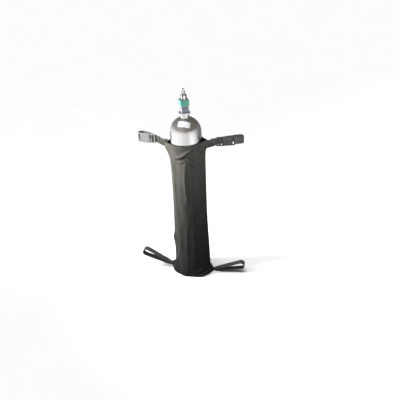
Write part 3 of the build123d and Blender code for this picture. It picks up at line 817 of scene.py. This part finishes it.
class Strap:
    """Places along an upper strap: s out from the bag, t back from its face, z up, in mm."""

    START = {"left": 46.0, "right": 37.0}      # where the buckle begins
    CANE = {"left": (108.33, 21.0), "right": (123.08, 13.5)}   # middle of the frame tube: s and t
    LADDER_BAR, LOOP_BAR = 13.0, 64.5          # the buckle's two bars, from where it begins
    PRONG = (27.3, 2.9, 10.1)                  # its top prong's hinge, from where it begins

    def __init__(self, side):
        hinge = next(j for j in frame["joints"] if j["name"] == f"{side}_prong_top_squeeze")
        sign = -1 if side == "left" else 1
        self.side = side
        self.back = np.array(hinge["axis"]) * sign
        self.out = np.cross(self.back, UP) * sign
        start = self.START[side]
        self.ladder_bar = start + self.LADDER_BAR
        self.loop_bar = start + self.LOOP_BAR
        self.cane = self.CANE[side]
        s, t, z = self.PRONG
        prong = self.out * (start + s) + self.back * t + UP * z
        self.zero = np.array(hinge["pos_m"]) / MM - prong

    def at(self, points):
        p = np.array(points, float)
        return self.zero + p[:, :1] * self.out + p[:, 1:2] * self.back + p[:, 2:] * UP


def arc(centre, radius, first, last, count):
    """Points (s, t) on an arc; angles in degrees from +s towards +t."""
    angles = np.radians(np.linspace(first, last, count))
    return [(centre[0] + radius * math.cos(a), centre[1] + radius * math.sin(a)) for a in angles]


def even(points, pitch):
    """The same route with points at an even pitch."""
    points = np.asarray(points, float)
    run = distances(points)
    at = np.linspace(0, run[-1], max(4, int(run[-1] / pitch)))
    return point_at(run, points, at).T


def ease(share):
    """Smooth step from 0 to 1."""
    return share * share * (3 - 2 * share)


def webbing(name, route, across, material, node, wide=None, deep=None):
    """Flat strap along a route in mm, across giving the direction of its width at each point."""
    piece = sweep(name, route, across, band_outline(WEB_WIDE, WEB_THICK), wide=wide, deep=deep)
    dress(piece, material, "bag", node)


def upper_tab(strap, material):
    """Webbing from the seam, behind the ladder frame, over its bar and back as a tail."""
    bar, near = strap.ladder_bar, strap.ladder_bar - 4.4
    first = 3.0
    tail_end = bar - 28.0
    low = {"left": -11.0, "right": -5.5}[strap.side]
    run = [(first, 4.2), (tail_end - 10, 5.6), (tail_end - 1, 7.4), (bar - 3, 7.6)]
    run += arc((bar, 4.7), BAR_WRAP_R, 90, 0, 6) + arc((bar, 2.9), BAR_WRAP_R, 0, -180, 13)
    run += arc((near, 4.3), 1.5, 0, 90, 6)
    run += [(near - 6, 5.8), (tail_end, 5.9)]
    run = even(run, 0.8)
    s, t = run.T
    rise = ease(np.clip((s - first) / (bar - 8 - first), 0, 1))
    passed = np.arange(len(run)) > np.argmax(s)
    slope = np.where(passed, 1.0, rise)
    wave = np.where(passed, 0, 0.25 * np.sin(s * 0.35))
    points = strap.at(np.column_stack([s, t + wave, low * (1 - slope)]))
    tilt = np.where(passed, 0.0, (low / (bar - 11.0)) * -1.5 * (1 - slope))
    across = UP - strap.out * tilt[:, None]
    webbing(f"upper_{strap.side}_tab_webbing", points, across, material, f"upper_{strap.side}_tab")


def upper_loop(strap, material):
    """Webbing from the buckle's bar, round the frame tube's place and back to the seam."""
    cane, bar, end = strap.cane, (strap.loop_bar, 2.9), (4.0, 6.2)
    to_cane = (cane[0] - bar[0], cane[1] - bar[1])
    aim = math.degrees(math.atan2(to_cane[1], to_cane[0]))
    off = math.degrees(math.asin((LOOP_R - BAR_WRAP_R) / math.hypot(*to_cane)))
    run = arc(bar, BAR_WRAP_R, aim + 100, aim - 90 - off, 12)
    from_end = (cane[0] - end[0], cane[1] - end[1])
    back_line = math.degrees(math.atan2(from_end[1], from_end[0]))
    leave = back_line + 90 + math.degrees(math.asin(LOOP_R / math.hypot(*from_end)))
    run += arc(cane, LOOP_R, aim - 90 - off, leave, 34)
    tail = run[-1]
    for share in np.linspace(0.12, 1, 12):
        sag = 0.65 * math.sin(math.pi * share)
        run.append((tail[0] + (end[0] - tail[0]) * share, tail[1] + (end[1] - tail[1]) * share + sag))
    run = even(run, 1.3)
    s, t = run.T
    low = {"left": -12.0, "right": -8.0}[strap.side]
    level_to = strap.loop_bar * 0.8
    passed = np.arange(len(run)) > np.argmax(s)
    drop = np.where(passed, ease(np.clip((level_to - s) / level_to, 0, 1)), 0)
    points = strap.at(np.column_stack([s, t, low * drop]))
    across = np.tile(UP, (len(points), 1))
    webbing(f"upper_{strap.side}_loop_webbing", points, across, material, f"upper_{strap.side}_loop")


# outline of each gusset (s, z): four points of its lower edge out to the tip, then four of its
# upper edge back from the tip
GUSSET = {"left": [(-3, -27), (18, -20.5), (37, -14), (40.5, -11.5),
                   (39, -8), (20, 0.5), (4, 5.5), (-3, 7)],
          "right": [(-3, -23), (16, -19), (33, -14.8), (36.2, -12.2),
                    (35, -9), (18, 0.5), (4, 8.5), (-3, 9.5)]}


def gusset_depth(s):
    """How far back the gusset's edge lies at s: it follows the strap."""
    return 2.6 + 0.5 * np.clip((s + 3) / 39, 0, 1)


def gusset(strap, cloth, thread):
    """Three-cornered end of the bag's corner, folded and stitched over the strap."""
    outline = GUSSET[strap.side]
    rows, columns = 16, 40
    low_line = even(curve_through(outline[:4], 10), 0.5)
    high_line = even(curve_through(outline[:3:-1], 10), 0.5)
    u = np.linspace(0, 1, columns)
    low_edge, high_edge = [point_at(np.linspace(0, 1, len(line)), line, u).T
                           for line in (low_line, high_line)]
    v = np.linspace(0, 1, rows)[:, None]
    s, z = np.moveaxis(low_edge[None] * (1 - v[..., None]) + high_edge[None] * v[..., None], -1, 0)
    inward = np.minimum(v, 1 - v) * 2
    share = np.clip((s + 3) / 39, 0, 1)
    t = gusset_depth(s) - 0.9 * np.sin(math.pi * share) * inward ** 0.7
    t = t + 0.35 * np.sin(z * 0.55 + s * 0.18) * inward
    t = t - 1.8 * np.exp(-(s + 3) / 5.0)
    points = strap.at(np.stack([s, t, z], -1).reshape(-1, 3)).reshape(rows, columns, 3)
    pattern = np.stack([s * MM, z * MM, np.zeros_like(s)], -1)
    if strap.side == "left":
        points, pattern = points[:, ::-1], pattern[:, ::-1]
    piece = thick_sheet(f"{strap.side}_gusset", points, 1.4, pattern)
    dress(piece, cloth, "bag", f"{strap.side}_seam_binding")
    for name, line, shift in (("lower", low_edge, 2.0), ("upper", high_edge, -2.0)):
        s, z = line[3:-4].T
        seam = strap.at(np.column_stack([s, gusset_depth(s) - 0.75, z + shift]))
        out = np.tile(-strap.back, (len(seam), 1))
        stitches(f"{strap.side}_gusset_stitches_{name}", seam, out, thread, pitch=3.2, long=2.1)


# the ear at each lower corner of the bag: out from the axis, and up
EAR = {"left": (87.5, 20.5), "right": (85.0, 6.6)}
EAR_LEAN = {"left": 0.95, "right": 0.35}


def lower_loop(side_name, material):
    """Webbing loop from the ear at the base, round the lower frame tube's place."""
    mount = next(m for m in frame["record"]["mounts"] if m["name"] == f"lower_{side_name}_loop")
    sign = -1 if side_name == "left" else 1
    centre = (abs(mount["pos_m"][0]) / MM, mount["pos_m"][2] / MM)
    ear = EAR[side_name]
    to_tube = (centre[0] - ear[0], centre[1] - ear[1])
    aim = math.degrees(math.atan2(to_tube[1], to_tube[0]))
    off = math.degrees(math.asin(LOOP_R / math.hypot(*to_tube)))
    turn = arc(centre, LOOP_R, aim - 90 - off, aim + 90 + off, 34)

    def run(end, lift, slack):
        """One run of the loop, from the ear to the tube."""
        line = []
        for share in (0.0, 0.06, 0.3, 0.5, 0.75):
            rise = (lift if share < 0.1 else 0.0) + slack * math.sin(math.pi * share)
            line.append((ear[0] + (end[0] - ear[0]) * share, ear[1] + (end[1] - ear[1]) * share + rise))
        return line

    corners = run(turn[0], -1.4, -1.6) + turn[::3] + [turn[-1]] + run(turn[-1], 1.4, 0.8)[::-1]
    route = even(curve_through(corners, 8), 1.3)
    x, z = route[:, 0], np.maximum(route[:, 1], 1.0)
    points = np.column_stack([x * sign, np.zeros(len(x)), z])
    gather = ease(np.clip((x - ear[0] - 2) / 34.0, 0, 1))
    across = np.column_stack([np.zeros(len(x)), np.ones(len(x)), EAR_LEAN[side_name] * (1 - gather)])
    webbing(f"lower_{side_name}_loop_webbing", points, across, material, f"lower_{side_name}_loop",
            wide=0.52 + 0.48 * gather, deep=1 + 0.9 * (1 - gather))


# ---------------------------------------------------------------- tamper seal

SEAL_HALF = (15.9, 14.6)       # half its width and depth, round the square post
SEAL_CORNER = 3.2
SEAL_WALL = 1.25


def turned_with_valve(points):
    """Turn points about the axis, as the valve is turned."""
    turn = math.radians(VALVE_TURN)
    spin = np.array([[math.cos(turn), -math.sin(turn)], [math.sin(turn), math.cos(turn)]])
    return np.concatenate([points[..., :2] @ spin.T, points[..., 2:]], axis=-1)


def seal_band(plastic):
    """Shrunk plastic band round the top of the post. Gives the height of its upper edge."""
    low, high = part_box("seal_band")
    bottom, top = low.z / MM, high.z / MM
    plan = []
    for cx, cy, start in ((1, -1, -90), (1, 1, 0), (-1, 1, 90), (-1, -1, 180)):
        corner = (cx * (SEAL_HALF[0] - SEAL_CORNER), cy * (SEAL_HALF[1] - SEAL_CORNER))
        plan += arc(corner, SEAL_CORNER, start, start + 90, 9)
    plan = even(plan + plan[:1], 0.9)[:-1]
    count = len(plan)
    outward = plan / np.linalg.norm(plan, axis=1, keepdims=True)
    around = np.linspace(0, 2 * math.pi, count, endpoint=False)
    rows = 26
    outer, inner = [], []
    for share in np.arange(rows) / (rows - 1):
        uneven = 0.45 * np.sin(3 * around + 1.0) + 0.25 * np.sin(7 * around)
        z = bottom + 0.5 + (top - bottom - 1.0) * share + uneven * abs(share * 2 - 1)
        bulge = 0.25 * np.sin(share * math.pi) + 0.11 * np.sin(5 * around + 4 * share)
        groove = -0.45 * np.exp(-((share - 0.30) / 0.035) ** 2) - 0.30 * np.exp(-((share - 0.80) / 0.04) ** 2)
        lip = -0.55 * (max(0, share - 0.93, 0.07 - share) / 0.07) ** 2
        outer.append(np.column_stack([plan + outward * (bulge + groove + lip)[:, None], z]))
        inner.append(np.column_stack([plan - outward * SEAL_WALL, z]))
    verts = turned_with_valve(np.concatenate(outer + inner))
    offset = rows * count
    faces = grid_faces(rows, count, close_columns=True)
    faces += grid_faces(rows, count, start=offset, close_columns=True, flip=True)
    for row, flip in ((0, False), (rows - 1, True)):
        for j in range(count):
            a, b = row * count + j, row * count + (j + 1) % count
            face = (a, a + offset, b + offset, b)
            faces.append(face[::-1] if flip else face)
    band = new_object("tamper_seal", verts * MM, faces)
    weld_and_orient(band)
    dress(band, plastic, "seal_band", "seal_band")
    return top


def seal_tab(plastic, top):
    """Tear tab that curls away from one corner of the band."""
    root = (2.6 - SEAL_HALF[0], 0.3 - SEAL_HALF[1])
    lean = math.radians(-38)
    u, v = np.meshgrid(np.linspace(0, 1, 14), np.linspace(0, 1, 10))
    out, curl = 9.4 * u, 1.5 * u ** 2
    tall = (7.6 - 1.6 * np.maximum(0, u - 0.7) / 0.3) * (v - 0.5)
    x = root[0] + math.sin(lean) * out + math.cos(lean) * curl
    y = root[1] - math.cos(lean) * out + math.sin(lean) * curl
    grid = turned_with_valve(np.stack([x, y, top - 4.6 + tall - 1.1 * u], -1))
    tab = thick_sheet("seal_tear_tab", grid, 1.0, grid * MM)
    weld_and_orient(tab)
    dress(tab, plastic, "seal_band", "seal_band")


# ---------------------------------------------------------------- materials on the CAD pieces

def dress_cad():
    """Materials for the CAD pieces that stay visible, by node or by the record's slot."""
    turned = (60, 60, 900)
    turn = math.radians(VALVE_TURN)
    outlet_side = (math.sin(turn), -math.cos(turn), 0.0)
    by_node = {
        # the packing nut's hexagon edges get painted dark reflections
        "packing_nut": metal_material("packing_nut_visual", (0.82, 0.82, 0.83), 0.11, turned,
                                      painted_reflection_edges=VALVE_TURN),
        # the valve post's outlet face gets painted shade
        "valve_body": metal_material("valve_body_visual", (0.76, 0.76, 0.79), 0.11, turned,
                                     painted_reflection_face=outlet_side)}
    by_slot = {
        "cylinder_aluminium": metal_material("cylinder_aluminium_visual", (0.74, 0.73, 0.72), 0.20,
                                             (14, 14, 420), grain=0.06),
        "valve_chrome": metal_material("valve_chrome_visual", (0.66, 0.66, 0.68), 0.11, turned),
        "stainless": metal_material("stainless_visual", (0.72, 0.72, 0.72), 0.22, (80, 80, 1600)),
        "copper_disc": metal_material("copper_disc_visual", (0.75, 0.36, 0.22), 0.3, (200, 200, 200)),
        "brass_plug": metal_material("brass_plug_visual", (0.72, 0.53, 0.26), 0.24, (200, 200, 900)),
        "nylon": plastic_material("nylon_visual", (0.55, 0.54, 0.50), (0.66, 0.65, 0.60), 0.4),
        "label_paper": label_material(),
        "rubber_seal": rubber_material()}
    black = plastic_material("buckle_plastic_visual", (0.036, 0.036, 0.037), (0.078, 0.078, 0.079), 0.28)
    # painted highlight: a lighter copy of the black buckle plastic, for the left buckle that the lamp from the
    # left lights
    lit_buckle_plastic = plastic_material("buckle_lit_plastic_visual", (0.114, 0.117, 0.119), (0.158, 0.161, 0.163), 0.30)
    slots = {part["node"]: part["material_slot"] for part in frame["record"]["subparts"]}
    for name, node in frame["nodes"].items():
        finish = by_node.get(name) or by_slot.get(slots.get(name))
        # the left buckle takes the lighter copy: painted highlight
        if "buckle" in name:
            finish = lit_buckle_plastic if name.startswith("left") else black
        if finish:
            for slot in node.material_slots:
                slot.material = finish


# ---------------------------------------------------------------- build

def hem_stitches(thread):
    theta = np.linspace(-86, 86, 160)
    for face in FACES:
        for name, below in (("upper", 3.2), ("lower", 14.6)):
            z = rim_z(face, theta) - below
            points = bag_point(face, theta, z, proud=1.05)
            stitches(f"hem_{face}_stitches_{name}", points, outward_of(face, theta), thread,
                     pitch=3.6, long=2.5)


def main():
    build_stage()
    cloth = bag_cloth_material()
    tape = webbing_material("binding_visual", (0.018, 0.0178, 0.016), (0.036, 0.0355, 0.032))
    strap_web = webbing_material("webbing_visual", (0.034, 0.0335, 0.031), (0.062, 0.061, 0.056))
    # painted shade: a darker copy of the same webbing, for the lower loops near the floor
    shaded_web = webbing_material("lower_webbing_shaded_visual", (0.014, 0.0138, 0.013), (0.030, 0.0295, 0.028))
    thread = plastic_material("thread_visual", (0.035, 0.034, 0.030), (0.09, 0.088, 0.08), 0.55)
    dress_cad()
    for face in FACES:
        panel = bag_panel(face, cloth)
        bag_hem(face, cloth)
    bag_base(cloth)
    hem_stitches(thread)
    for side in ("left", "right"):
        seam_binding(side, tape, thread)
        strap = Strap(side)
        upper_tab(strap, strap_web)
        upper_loop(strap, strap_web)
        gusset(strap, cloth, thread)
        lower_loop(side, shaded_web)
    plastic = seal_material()
    top = seal_band(plastic)
    seal_tab(plastic, top)


main()
